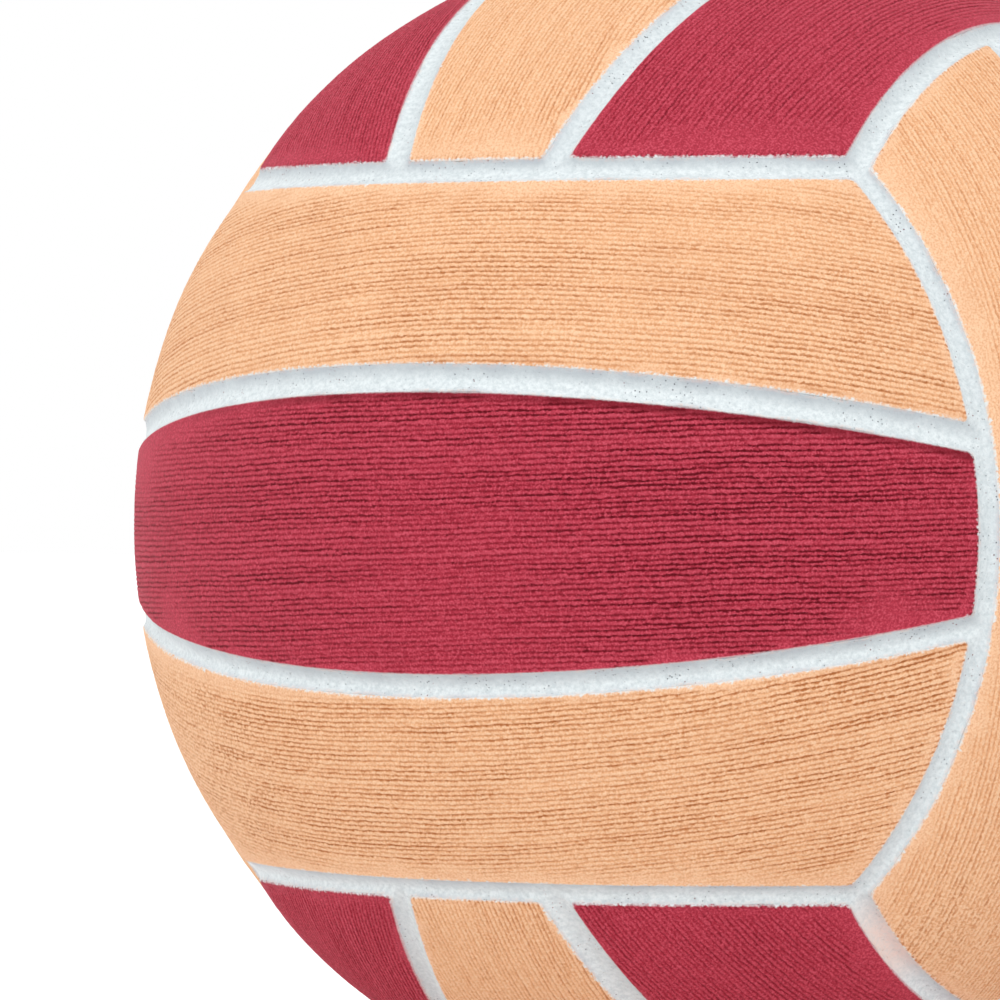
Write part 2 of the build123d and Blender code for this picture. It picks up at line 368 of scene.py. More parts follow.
class RibGrid:
    def __init__(self, face, strip, seed):
        _, across, self.normal = face_directions(face)
        side = strip_side(face, strip)
        self.sides = cell_sides(face, strip)
        self.insets = panel_insets(face, strip)
        self.seed = seed
        name = f"{face}_{strip}"
        self.strength = RIB_STRENGTHS.get(name, USUAL_STRENGTH)
        self.bare_end = BARE_ENDS.get(face, USUAL_BARE_END)
        self.dark_band = DARK_BANDS.get(name, USUAL_BAND)
        self.bare_side = BARE_SIDES.get(name, 0.0)
        self.smooth_patches = SMOOTH_PATCHES.get(name, [])
        self.pebbled_patches = PEBBLED_PATCHES.get(name, [])
        self.outer_fade = OUTER_FADES.get(name, USUAL_OUTER_FADE) if side != 0 else (SEAM_FADE, SEAM_FADE)
        tilt = side * OUTER_RIB_TILT
        middle = strip_middle(face, strip)
        axis = across * cos(tilt) - self.normal * sin(tilt)
        self.axis = turned(axis, middle, RIB_SLANT)
        self.lean = np.dot(self.axis, self.normal)
        self.front = unit(self.normal - self.lean * self.axis)
        self.aside = np.cross(self.axis, self.front)
        self.end_height = sin(CAP_LATITUDE + self.insets[0] / BALL_RADIUS)
        self.middle_row = BALL_RADIUS * asin(np.dot(self.axis, middle))
        self.columns = self.column_shares()
        self.low, self.high = self.row_limits()

    def half_turn(self, rows):
        """The turn about the rib axis from a row's middle to its end."""
        latitude = rows / BALL_RADIUS
        reach = self.end_height - np.sin(latitude) * self.lean
        return np.arccos(np.clip(reach / (np.cos(latitude) * np.dot(self.front, self.normal)), -1, 1))

    def points(self, rows, shares):
        """Unit directions at rows in millimetres and shares from -1 to 1 along them."""
        latitude = (rows / BALL_RADIUS)[..., None]
        turn = (self.half_turn(rows) * shares)[..., None]
        level = np.cos(turn) * self.front + np.sin(turn) * self.aside
        return np.sin(latitude) * self.axis + np.cos(latitude) * level

    def column_shares(self):
        """Shares along a row, closer together towards its ends."""
        half_length = BALL_RADIUS * float(self.half_turn(np.array(self.middle_row)))
        count = int((half_length - END_COLUMNS[-1]) / COLUMN_STEP)
        inner = np.linspace(half_length - END_COLUMNS[-1], 0, count + 1)
        half = np.append(half_length - END_COLUMNS[:-1], inner) / half_length
        return np.append(-half, half[-2::-1])

    def row_limits(self):
        """The lowest and highest row of the panel in each column."""
        limits = []
        for way in (-1, 1):
            inside = np.full(len(self.columns), self.middle_row)
            outside = inside + way * ROW_SEARCH_REACH
            for _ in range(ROW_SEARCH_STEPS):
                trial = (inside + outside) / 2
                distances = seam_distances(self.points(trial, self.columns), self.sides[1:])
                kept = (distances - self.insets[1:]).min(axis=-1) > 0
                inside = np.where(kept, trial, inside)
                outside = np.where(kept, outside, trial)
            limits.append(inside)
        return limits

    def valley_lines(self):
        """Where each valley between ribs runs, and its force: one row of places for each valley."""
        seed = self.seed
        random = np.random.default_rng(seed)
        low = self.low.min() - VALLEYS_BEFORE * RIB_PITCH
        count = int((self.high.max() - low) / RIB_PITCH * SPARE_SHARE) + SPARE_VALLEYS
        steps = RIB_PITCH * np.clip(random.normal(1, RIB_UNEVENNESS, count), *RIB_WIDTH_LIMITS)
        places = low + np.cumsum(steps)
        length = BALL_RADIUS * self.half_turn(places)[:, None] * self.columns[None, :]
        spots = np.stack([np.broadcast_to(places[:, None], length.shape), length], axis=-1)
        own_places = np.broadcast_to(np.arange(count)[:, None] * VALLEYS_APART, length.shape)
        own_spots = np.stack([own_places, length], axis=-1)
        sway = waves(spots, RIB_SWAY, seed + 1) + waves(spots, RIB_BEND, seed + 2)
        jitter = waves(own_spots, RIB_JITTER, seed + 3)
        force = random.uniform(*GROOVE_FORCES, count)[:, None]
        force = force * (GROOVE_USUAL_FORCE + waves(own_spots, FORCE_CHANGE, seed + 4))
        force = force * (1 + waves(spots, FORCE_DRIFT, seed + 9))
        return places[:, None] + sway + jitter, np.clip(force, *GROOVE_FORCE_LIMITS)

    def rib_rows(self):
        """Rows along the ribs: their places, their distances from a valley and that valley's force."""
        lines, forces = self.valley_lines()
        widths = np.diff(lines, axis=0)
        rows = lines[:-1, None, :] + RIB_PHASES[None, :, None] * widths[:, None, :]
        first_half = RIB_PHASES < 0.5
        away = np.where(first_half, RIB_PHASES, 1 - RIB_PHASES)[None, :, None] * widths[:, None, :]
        force = np.where(first_half[None, :, None], forces[:-1, None, :], forces[1:, None, :])
        shape = (-1, len(self.columns))
        return rows.reshape(shape), away.reshape(shape), force.reshape(shape)


class Sheet:
    """A grid cut off at the panel's long sides: its points' rows and shares, faces and outline."""

    def __init__(self, grid, rows):
        columns = len(grid.columns)
        self.inside = (rows > grid.low + ROW_CLEARANCE) & (rows < grid.high - ROW_CLEARANCE)
        numbers = np.cumsum(self.inside.ravel()).reshape(rows.shape) - 1 + 2 * columns
        column = np.broadcast_to(np.arange(columns), rows.shape)
        border = np.where(rows < grid.middle_row, column, column + columns)
        self.numbers = np.where(self.inside, numbers, border)
        self.rows = np.concatenate([grid.low, grid.high, rows[self.inside]])
        shares = np.broadcast_to(grid.columns, rows.shape)
        self.shares = np.concatenate([grid.columns, grid.columns, shares[self.inside]])
        self.points = grid.points(self.rows, self.shares)
        self.columns = columns
        self.quads, self.triangles = self.faces()

    def spread(self, values, at_border):
        """Values given on the grid, for each point of the sheet."""
        border = np.full(2 * self.columns, at_border)
        return np.append(border, values[self.inside])

    def faces(self):
        n = self.numbers
        a, b, c, d = n[:-1, :-1], n[:-1, 1:], n[1:, 1:], n[1:, :-1]
        left = a != d
        right = b != c
        quads = np.stack([a, b, c, d], axis=-1)[left & right]
        left_only = np.stack([a, b, d], axis=-1)[left & ~right]
        right_only = np.stack([a, b, c], axis=-1)[~left & right]
        return quads, np.concatenate([left_only, right_only])

    def end_line(self, column):
        """The points along one end of the sheet, each once."""
        line = self.numbers[:, column]
        return line[np.append(True, line[1:] != line[:-1])]

    def cut_hole(self, axis, radius):
        """Takes out a round hole and returns its rim, with each point's angle round the axis."""
        lost = self.points @ axis > cos(radius / BALL_RADIUS)
        cut_quads = lost[self.quads].any(axis=1)
        cut_triangles = lost[self.triangles].any(axis=1)
        removed = np.append(self.quads[cut_quads], self.triangles[cut_triangles])
        self.quads = self.quads[~cut_quads]
        self.triangles = self.triangles[~cut_triangles]
        rim = np.intersect1d(removed, np.append(self.quads, self.triangles))
        self.points[rim] = meridian_move(self.points[rim], axis, pi / 2 - radius / BALL_RADIUS)
        slanted = (0.0, 0.3, 1.0)
        first = unit(np.cross(axis, slanted))
        angles = np.arctan2(self.points[rim] @ np.cross(axis, first), self.points[rim] @ first)
        order = np.argsort(angles)
        return rim[order], angles[order]


def zipper(first, second, first_places, second_places):
    """Triangles between two lines of points that run the same way."""
    triangles = []
    first_places = np.append(first_places, np.inf)
    second_places = np.append(second_places, np.inf)
    i = 0
    j = 0
    while i < len(first) - 1 or j < len(second) - 1:
        if first_places[i + 1] <= second_places[j + 1]:
            triangles.append((first[i], first[i + 1], second[j]))
            i += 1
        else:
            triangles.append((first[i], second[j + 1], second[j]))
            j += 1
    return np.array(triangles)


def add_object(name, data):
    added = bpy.data.objects.new(name, data)
    bpy.context.scene.collection.objects.link(added)
    return added


def new_piece(name, points, groups, attributes):
    """A smooth mesh object from points in millimetres and groups of (faces, places on the texture map)."""
    mesh = bpy.data.meshes.new(name)
    used, corners = np.unique(np.concatenate([faces.ravel() for faces, _ in groups]), return_inverse=True)
    points = points[used]
    sizes = np.concatenate([np.full(len(faces), faces.shape[1]) for faces, _ in groups])
    starts = np.append(0, np.cumsum(sizes)[:-1])
    places = np.concatenate([places.reshape(-1, 2) for _, places in groups])
    mesh.vertices.add(len(points))
    mesh.vertices.foreach_set("co", (points * MM).astype(np.float32).ravel())
    mesh.loops.add(len(corners))
    mesh.polygons.add(len(sizes))
    mesh.polygons.foreach_set("loop_start", starts.astype(np.int32))
    mesh.polygons.foreach_set("vertices", corners.astype(np.int32))
    mesh.update(calc_edges=True)
    layer = mesh.uv_layers.new(name="OFBake")
    layer.uv.foreach_set("vector", places.astype(np.float32).ravel())
    for label, values in attributes.items():
        attribute = mesh.attributes.new(label, "FLOAT", "POINT")
        attribute.data.foreach_set("value", values[used].astype(np.float32))
    mesh.shade_smooth()
    return add_object(name, mesh)


# Grip panels

def rib_fade(grid, sheet, gaps, start, valve_gap, wander):
    """How full the ribs are at each point, from 0 at the panel's edges to 1 well inside it."""
    spots = sheet.points * BALL_RADIUS
    bare_end = grid.bare_end * (1 + waves(spots, BARE_END_CHANGE, grid.seed + 6))
    fade = smooth_step(0.0, np.clip(bare_end, *BARE_END_LIMITS), gaps[:, 0] + END_WANDER * wander)
    fade *= smooth_step(0.0, SEAM_FADE + grid.bare_side * start, gaps[:, 1] + SEAM_WANDER * wander)
    first_fade, last_fade = grid.outer_fade
    outer_fade = first_fade + (last_fade - first_fade) * smooth_step(*OUTER_FADE_SHARES, sheet.shares)
    fade *= smooth_step(0.0, outer_fade, gaps[:, 2] + OUTER_WANDER * wander)
    fade *= smooth_step(*VALVE_FADE, valve_gap + VALVE_WANDER * wander)
    fade *= 1 - SMOOTH_LEVEL * patch_share(sheet.points, grid.smooth_patches, SMOOTH_WANDER * wander)
    return fade


def panel_surface(grid, sheet, away, force):
    """Height above the ball's radius at each point of a panel's top, and the values its paint goes by."""
    spots = sheet.points * BALL_RADIUS
    gaps = seam_distances(sheet.points, grid.sides) - grid.insets
    edge = edge_distance(gaps)
    start = 1 - smooth_step(*START_SHARES, sheet.shares)
    valve_gap = arc_distance(sheet.points, VALVE_AXIS) - VALVE_HOLE_RADIUS
    wander = ripple(spots, WANDER_LENGTH, grid.seed + 5)
    fade = rib_fade(grid, sheet, gaps, start, valve_gap, wander)
    pebble = patch_share(sheet.points, grid.pebbled_patches, wander)
    band = grid.dark_band * (1 - start) * (1 - smooth_step(*BAND_EDGE, gaps[:, 1]))
    band *= np.clip(BAND_USUAL_FORCE + waves(spots, BAND_CHANGE, grid.seed + 10), 0, 1)
    away = sheet.spread(away, RIB_PITCH / 2)
    force = sheet.spread(force, 1.0) * (1 - START_WEAKNESS * grid.bare_side * start)
    valley = force * np.exp(-(away / GROOVE_HALF_WIDTH) ** 2)
    bulge = np.clip(1 - 2 * away / RIB_PITCH, 0, 1) ** 2
    ribs = fade * (1 - PEBBLE_LEVEL * pebble) * (GROOVE_SHARE * valley + BULGE_SHARE * bulge)
    pillow = PILLOW_DROP * (1 - np.clip(edge / PILLOW_REACH, 0, 1)) ** 2
    inset = np.clip(EDGE_ROLL - edge, 0, EDGE_ROLL)
    roll = EDGE_ROLL - np.sqrt(EDGE_ROLL ** 2 - inset ** 2) + EDGE_FALL * np.clip(-edge, 0, None)
    uneven = waves(spots, PANEL_SWELL, grid.seed + 7) + waves(spots, PANEL_GRAIN, grid.seed + 8)
    rim = VALVE_RIM_DROP * (1 - smooth_step(0.0, VALVE_RIM_WIDTH, valve_gap))
    height = uneven - pillow - roll - rim - RIB_DEPTH * ribs - low_face(sheet.points)
    looks = {"edge": edge, "end": gaps[:, 0], "band": band, "away": away,
             "force": force * grid.strength, "fade": fade, "pebble": pebble}
    return height, looks


def panel_walls(top, under):
    """Faces from the outline of a panel's top to its underside's, with their shift on the texture map."""
    first_under = len(top.points)
    low = np.arange(top.columns - 1)
    high = low + top.columns
    low_wall = np.stack([first_under + low, first_under + low + 1, low + 1, low], axis=-1)
    high_wall = np.stack([high, high + 1, first_under + high + 1, first_under + high], axis=-1)
    walls = [(low_wall, (0.0, -MAP_WALL)), (high_wall, (0.0, MAP_WALL))]
    for column, shift in ((0, -MAP_WALL), (-1, MAP_WALL)):
        first = top.end_line(column)
        second = under.end_line(column)
        end_wall = zipper(first, second + first_under, top.rows[first], under.rows[second])
        if column == -1:
            end_wall = end_wall[:, ::-1]
        walls.append((end_wall, (shift, 0.0)))
    return walls


def valve_wall(top, under, places):
    """Cuts the valve's hole through a panel: faces round the hole, with their shift on the texture map."""
    lines = []
    turns = []
    for sheet, first_point in ((top, 0), (under, len(top.points))):
        rim, angles = sheet.cut_hole(VALVE_AXIS, VALVE_HOLE_RADIUS)
        lines.append(np.append(rim, rim[0]) + first_point)
        turns.append(np.append(angles, angles[0] + 2 * pi))
    faces = zipper(*lines, *turns)
    return faces, MAP_HOLE * (places[lines[0]].mean(axis=0) - places[faces])


def panel_piece(name, face, strip, seed):
    """A grip panel: its ribbed top, its underside and the walls between them."""
    grid = RibGrid(face, strip, seed)
    rows, away, force = grid.rib_rows()
    has_valve = panel_node(face, strip) == VALVE_PANEL
    step = VALVE_UNDERSIDE_STEP if has_valve else UNDERSIDE_STEP
    lowest, highest = grid.low.min(), grid.high.max()
    levels = np.arange(lowest - step, highest + step, step)
    top = Sheet(grid, rows)
    under = Sheet(grid, np.broadcast_to(levels[:, None], (len(levels), len(grid.columns))))
    first_under = len(top.points)
    along = np.append(top.shares, under.shares) + 1
    across = np.append(top.rows, under.rows) - lowest
    places = np.stack([
        MAP_ALONG[0] + MAP_ALONG[1] * along / 2,
        MAP_ACROSS[0] + MAP_ACROSS[1] * across / (highest - lowest),
    ], axis=-1)
    walls = panel_walls(top, under)
    if has_valve:
        walls.append(valve_wall(top, under, places))
    height, looks = panel_surface(grid, top, away, force)
    points = np.concatenate([
        top.points * (BALL_RADIUS + height)[:, None],
        under.points * (BALL_RADIUS - PANEL_THICKNESS - low_face(under.points))[:, None],
    ])
    groups = [(top.quads, places[top.quads]), (top.triangles, places[top.triangles])]
    for faces in (under.quads, under.triangles):
        faces = faces[:, ::-1] + first_under
        groups.append((faces, places[faces] * (MAP_UNDERSIDE, 1.0)))
    for faces, shift in walls:
        groups.append((faces, places[faces] + np.where((faces >= first_under)[..., None], shift, 0.0)))
    blank = np.zeros(len(under.points))
    attributes = {label: np.append(values, blank) for label, values in looks.items()}
    return new_piece(name, points, groups, attributes)


def grip_slot(face, strip):
    middle = strip_side(face, strip) == 0
    return "crimson_grip" if middle != (face in CRIMSON_OUTER_FACES) else "peach_grip"


# White channels: one closed skin, made of a ring round each panel

def arc_steps(start, end):
    length = BALL_RADIUS * cos(CAP_LATITUDE) * abs(end - start)
    return np.linspace(start, end, max(2, round(length / CHANNEL_STEP)), endpoint=False)


def arc(pole, height, first, second, angles):
    """Points on a circle round pole, at angles from first towards second."""
    angles = angles[:, None]
    return pole * height + sqrt(1 - height ** 2) * (first * np.cos(angles) + second * np.sin(angles))


def cell_loop(face, strip):
    """Points along the seams round a panel, anticlockwise from outside, and the seam that each is on."""
    along, across, normal = face_directions(face)
    side = strip_side(face, strip)
    flat = sin(CAP_LATITUDE)
    up = across if side >= 0 else -across
    inner = -JUNCTION_TURN if side == 0 else JUNCTION_TURN
    outer = JUNCTION_TURN if side == 0 else CORNER_TURN
    right_end = arc(normal, flat, along, up, arc_steps(inner, outer))
    left_end = arc(normal, flat, -along, up, arc_steps(outer, inner))
    seam_steps = arc_steps(-SEAM_REACH, SEAM_REACH)

    def strip_seam(way, steps):
        lifted = normal * cos(SEAM_TILT) + way * up * sin(SEAM_TILT)
        return arc(np.cross(lifted, along), 0.0, lifted, along, steps)

    lower_seam = strip_seam(-1 if side == 0 else 1, seam_steps)
    if side == 0:
        far_edge = strip_seam(1, -seam_steps)
        owners = (0, 1, 0, 2)
    else:
        breaks = (CORNER_TURN, JUNCTION_TURN, -JUNCTION_TURN, -CORNER_TURN)
        steps = np.concatenate([arc_steps(a, b) for a, b in zip(breaks[:-1], breaks[1:])])
        far_edge = arc(up, flat, normal, along, steps)
        owners = (0, 2, 0, 1)
    arcs = (right_end, far_edge, left_end, lower_seam)
    points = np.concatenate(arcs)
    owner = np.concatenate([np.full(len(run), number) for run, number in zip(arcs, owners)])
    if side < 0:
        points = points[::-1]
        owner = owner[::-1]
    return points, owner


def corner_centre(first, second, insets, near):
    """The point inset from two seams, on the side of near."""
    one = sin(first[1] + insets[0] / BALL_RADIUS)
    two = sin(second[1] + insets[1] / BALL_RADIUS)
    shared = np.dot(first[0], second[0])
    a = (one - shared * two) / (1 - shared ** 2)
    b = (two - shared * one) / (1 - shared ** 2)
    level = a * first[0] + b * second[0]
    rise = unit(np.cross(first[0], second[0])) * sqrt(1 - np.dot(level, level))
    return max(level + rise, level - rise, key=lambda point: np.dot(point, near))


def panel_outline(loop, owner, sides, insets):
    """The point of the panel's rounded outline nearest to each point of the seams round it."""
    outline = np.empty_like(loop)
    for number, (direction, latitude) in enumerate(sides):
        own = owner == number
        outline[own] = meridian_move(loop[own], direction, latitude + insets[number] / BALL_RADIUS)
    centre_insets = insets + PANEL_CORNER_RADIUS
    distances = seam_distances(outline, sides)
    for place, own in enumerate(owner):
        for other in range(len(sides)):
            if other != own and distances[place, other] < centre_insets[other]:
                pair = (centre_insets[own], centre_insets[other])
                centre = corner_centre(sides[own], sides[other], pair, loop[place])
                away = unit(loop[place] - centre)
                outline[place] = unit(centre + away * PANEL_CORNER_RADIUS / BALL_RADIUS)
    return outline


def channel_height(loop, drop):
    """The radius of a channel's loop that lies drop below the ball's surface, with its roughness."""
    spots = loop * BALL_RADIUS
    rough = waves(spots, CHANNEL_SWELL, CHANNEL_SEED + 1) + waves(spots, CHANNEL_GRAIN, CHANNEL_SEED + 2)
    return BALL_RADIUS - drop + rough - low_face(loop)


def channel_ring(face, strip):
    """Loops from the seams round a panel in to its middle, with gaps from its edge and upward slopes."""
    seams, owner = cell_loop(face, strip)
    outline = panel_outline(seams, owner, cell_sides(face, strip), panel_insets(face, strip))
    way = unit(outline - seams)
    width = BALL_RADIUS * np.linalg.norm(outline - seams, axis=1)
    spots = outline * BALL_RADIUS
    drift = waves(spots, EDGE_JITTER, CHANNEL_SEED) + waves(spots, EDGE_DRIFT, CHANNEL_SEED + 3)
    rim = unit(outline + way * drift[:, None] / BALL_RADIUS)
    # How far the way from the seam to the panel points up: the painted shade on the channels' upper sides
    # goes by it
    rise = way[:, 2]
    even = np.ones(len(rim))
    rows = []
    for share in COVE_SHARES:
        loop = unit(seams * (1 - share) + rim * share)
        height = channel_height(loop, CHANNEL_EDGE_DEPTH + CHANNEL_DEPTH * (1 - share ** 2))
        rows.append((loop, height, width * (1 - share), rise * share))
    for inset in LIP_INSETS:
        loop = unit(rim + way * inset / BALL_RADIUS)
        height = channel_height(loop, CHANNEL_EDGE_DEPTH + LIP_CURVE * inset ** 2)
        rows.append((loop, height, -inset * even, rise))
    middle = strip_middle(face, strip)
    tucked = unit(rim + way * TUCK_INSET / BALL_RADIUS)
    level = unit(tucked - (tucked @ middle)[:, None] * middle)
    hole = (VALVE_HOLE_RADIUS - VALVE_HOLE_CLEARANCE) / BALL_RADIUS
    centre_ring = middle * cos(hole) + level * sin(hole)
    for share in TUCK_SHARES:
        loop = unit(tucked * (1 - share) + centre_ring * share)
        rows.append((loop, CARCASS_RADIUS - low_face(loop), HIDDEN_GAP * even, rise))
    if panel_node(face, strip) == VALVE_PANEL:
        rows.append((loop, (CARCASS_RADIUS - CARCASS_THICKNESS) * even, HIDDEN_GAP * even, 0 * even))
    loops, heights, gaps, heads = (np.stack(values) for values in zip(*rows))
    return loops * heights[..., None], gaps, heads


def map_corners(*corners):
    """Places on the texture map, face by face, from the two places of each corner."""
    return np.stack([np.stack(corner, axis=-1) for corner in corners], axis=1)


def ring_faces(start, levels, count, first_run, closed):
    """Faces between the loops of a ring and, if it is closed, from the last loop to the point after it."""
    around = np.arange(count)
    following = (around + 1) % count - around
    run = around * MAP_RUNS // count
    left = MAP_RUN[0] + MAP_RUN[1] * (around * MAP_RUNS / count - run)
    width = MAP_RUN[1] * MAP_RUNS / count
    right = left + width
    run = first_run + run
    all_runs = MAP_RUNS * len(all_strips())
    groups = []
    for level in range(levels - 1):
        lower = start + level * count + around
        upper = lower + count
        faces = np.stack([lower, upper, upper + following, lower + following], axis=-1)
        near = (run + MAP_ROWS[0] + MAP_ROWS[1] * level / levels) / all_runs
        far = near + MAP_ROWS[1] / levels / all_runs
        groups.append((faces, map_corners((left, near), (left, far), (right, far), (right, near))))
    if closed:
        last = start + (levels - 1) * count + around
        faces = np.stack([last, np.full(count, start + levels * count), last + following], axis=-1)
        side = (run + MAP_FAN[0]) / all_runs
        tip = side + MAP_FAN[1] / all_runs
        groups.append((faces, map_corners((left, side), (left + width / 2, tip), (right, side))))
    return groups


def channel_skin(name):
    """The white layer under the panels, whose coved ridges show in the seams."""
    blocks = []
    groups = []
    start = 0
    for number, (face, strip) in enumerate(all_strips()):
        points, gaps, heads = channel_ring(face, strip)
        closed = panel_node(face, strip) != VALVE_PANEL
        groups.extend(ring_faces(start, *gaps.shape, MAP_RUNS * number, closed))
        blocks.append((points.reshape(-1, 3), gaps.ravel(), heads.ravel()))
        if closed:
            middle = strip_middle(face, strip)
            centre = middle[None] * (CARCASS_RADIUS - low_face(middle))
            blocks.append((centre, np.array([HIDDEN_GAP]), np.zeros(1)))
        start += gaps.size + closed
    points, gaps, heads = (np.concatenate(values) for values in zip(*blocks))
    keys = np.round(points * MERGE_STEPS).astype(np.int64)
    _, kept, merged = np.unique(keys, axis=0, return_index=True, return_inverse=True)
    merged = merged.ravel()
    groups = [(merged[faces], places) for faces, places in groups]
    return new_piece(name, points[kept], groups, {"gap": gaps[kept], "head": heads[kept]})


# Materials

def srgb(red, green, blue):
    """A colour as shaders take it, from its values in a picture, 0 to 255."""
    linear = []
    for value in (red, green, blue):
        value = value / 255
        linear.append(value / 12.92 if value <= 0.04045 else ((value + 0.055) / 1.055) ** 2.4)
    return (*linear, 1.0)


# Grip colours: groove is the darker tone of grain, cloud and dark band, and the painted shade in grooves and
# notches; light is the lighter grain and the painted highlight on rib tops
PEACH = {"smooth": srgb(253, 203, 162), "base": srgb(249, 193, 147), "light": srgb(255, 214, 176),
         "groove": srgb(196, 118, 64), "sheen": srgb(255, 220, 190)}
CRIMSON = {"smooth": srgb(187, 57, 77), "base": srgb(179, 47, 67), "light": srgb(213, 86, 105),
           "groove": srgb(108, 9, 25), "sheen": srgb(255, 150, 165)}
WHITE_PAINT = srgb(238, 246, 248)
MOTTLED_PAINT = srgb(212, 222, 225)
# The grey of the painted shade on the channels' upper sides
PAINTED_UPPER_SHADE = srgb(190, 198, 203)
SMUDGE = srgb(188, 190, 202)
PINHOLE_GREY = srgb(124, 130, 138)
CRIMSON_SPECK = srgb(150, 62, 76)
PEACH_TRACE = srgb(226, 190, 176)
PINK_STAIN = srgb(244, 214, 202)
THREAD = srgb(228, 222, 205)
THREAD_SHADE = srgb(150, 142, 120)


class Shader:
    """A new material with a Principled shader, and short ways to add nodes to it."""

    def __init__(self, name):
        self.material = bpy.data.materials.new(name)
        self.material.use_nodes = True
        self.tree = self.material.node_tree
        self.surface = self.tree.nodes["Principled BSDF"]
        self.spot = self.node("ShaderNodeTexCoord").outputs["Object"]

    def node(self, kind, inputs=None, **settings):
        node = self.tree.nodes.new(kind)
        for setting, value in settings.items():
            setattr(node, setting, value)
        self.fill(node, inputs or {})
        return node

    def fill(self, node, inputs):
        """Links a node's sockets to other nodes, or sets them to plain values."""
        for socket, value in inputs.items():
            if isinstance(value, bpy.types.NodeSocket):
                self.tree.links.new(value, node.inputs[socket])
            else:
                node.inputs[socket].default_value = value

    def attribute(self, name):
        return self.node("ShaderNodeAttribute", attribute_name=name).outputs["Fac"]

    def noise(self, size_mm, detail=2.0, roughness=0.5, distortion=0.0):
        """Noise from 0 to 1 whose features are about size_mm across."""
        inputs = {"Vector": self.spot, "Scale": 1 / (size_mm * MM), "Detail": detail,
                  "Roughness": roughness, "Distortion": distortion}
        return self.node("ShaderNodeTexNoise", inputs).outputs["Fac"]

    def spread(self, value, low, high, to_low=0.0, to_high=1.0):
        """value from low to high mapped to to_low to to_high, and held there."""
        inputs = {"Value": value, "From Min": low, "From Max": high, "To Min": to_low, "To Max": to_high}
        return self.node("ShaderNodeMapRange", inputs, clamp=True).outputs["Result"]

    def math(self, operation, first, second):
        return self.node("ShaderNodeMath", {0: first, 1: second}, operation=operation).outputs[0]

    def times(self, first, second):
        return self.math("MULTIPLY", first, second)

    def mix(self, share, first, second):
        """first where share is 0 and second where it is 1."""
        return self.node("ShaderNodeMix", {0: share, 6: first, 7: second}, data_type="RGBA").outputs[2]

    def bump(self, height, depth_mm, below=None):
        inputs = {"Height": height, "Distance": depth_mm * MM, "Strength": 1.0}
        if below is not None:
            inputs["Normal"] = below
        return self.node("ShaderNodeBump", inputs).outputs["Normal"]

    def finish(self, colour, roughness, normal):
        self.fill(self.surface, {"Base Color": colour, "Roughness": roughness, "Normal": normal})
        return self.material


def rib_grooves(shader, bead, ragged):
    """The distance from a groove that beads make uneven, and how deep in a broken groove a spot is."""
    reach = shader.spread(shader.attribute("pebble"), 0, 1, 0.17, 0.42)
    wobble = shader.times(shader.spread(bead, 0.28, 0.72, -1, 1), reach)
    away = shader.math("ADD", shader.attribute("away"), wobble)
    valley = shader.times(shader.spread(away, 0, 0.24, 1, 0), shader.attribute("force"))
    return away, shader.times(valley, shader.spread(ragged, 0.3, 0.65, 0.55, 1.15))


def feathered_edge(shader, bead, ragged, side_teeth):
    """How far white paint covers the panel's edge: small teeth at its ends, times side_teeth elsewhere."""
    teeth = shader.times(shader.spread(bead, 0.3, 0.7, -0.25, 0.45),
                         shader.spread(shader.attribute("end"), 0.6, 2, 1, side_teeth))
    teeth = shader.times(teeth, shader.spread(ragged, 0.35, 0.65, 0.3, 1.2))
    inward = shader.math("SUBTRACT", shader.attribute("edge"), teeth)
    return shader.spread(inward, -0.15, 0.35, 0.9, 0)


def grip_rubber(name, colours, side_teeth):
    """Ribbed rubber: beaded ribs with a painted highlight on their tops, broken grooves between them with
    painted shade in them, and dark notches of painted shade where they end.
    """
    shader = Shader(name)
    bead = shader.noise(0.62, 2, 0.6)
    grain = shader.noise(0.36, 2, 0.6)
    ragged = shader.noise(1.4, 3, 0.6)
    cloud = shader.noise(13, 3)
    fade = shader.attribute("fade")
    away, valley = rib_grooves(shader, bead, ragged)
    # How deep the grooves are: it darkens the colour there as a painted shade, and shapes their bumps
    cut = shader.times(valley, fade)
    # The rib tops made lighter: a painted highlight
    painted_rib_highlight = shader.times(shader.spread(away, 0.2, 0.5, 0, 0.6), fade)
    # Painted shade in the notches where the grooves run out at a panel's ends
    notch_shade = shader.times(shader.spread(shader.attribute("end"), 0.3, 1.6, 1, 0),
                           shader.spread(valley, 0.05, 0.6, 0.05, 1))
    band = shader.times(shader.attribute("band"), shader.spread(ragged, 0.3, 0.55, 0.75, 1.1))
    colour = shader.mix(fade, colours["smooth"], colours["base"])
    for share, tint in (
        (shader.spread(grain, 0.36, 0.5, 0.3, 0), "groove"),
        (shader.spread(grain, 0.5, 0.64, 0, 0.9), "light"),
        (painted_rib_highlight, "light"),
        (shader.spread(cloud, 0.5, 0.8, 0, 0.1), "groove"),
        (shader.spread(cut, 0, 1, 0, 0.95), "groove"),
        (shader.spread(notch_shade, 0, 1, 0, 0.95), "groove"),
        (shader.spread(band, 0, 1, 0, 0.75), "groove"),
    ):
        colour = shader.mix(share, colour, colours[tint])
    colour = shader.mix(feathered_edge(shader, bead, ragged, side_teeth), colour, WHITE_PAINT)
    shader.fill(shader.surface, {"Specular IOR Level": 0.12, "Sheen Weight": 0.06, "Sheen Roughness": 0.5,
                                 "Sheen Tint": colours["sheen"]})
    relief = shader.bump(grain, 0.04, shader.bump(bead, 0.09, shader.bump(cut, -0.1)))
    return shader.finish(colour, shader.spread(grain, 0.3, 0.7, 0.6, 0.78), relief)


def pinholes(shader, head):
    """Small holes in crowds, more of them on the channels' upper sides."""
    cells = shader.node("ShaderNodeTexVoronoi", {"Vector": shader.spot, "Scale": 1 / (0.8 * MM)})
    holes = shader.spread(cells.outputs["Distance"], 0.08, 0.18, 1, 0)
    crowd = shader.math("ADD", shader.noise(6, 3), shader.spread(head, -0.5, 0.8, -0.04, 0.05))
    return shader.times(holes, shader.spread(crowd, 0.43, 0.6))


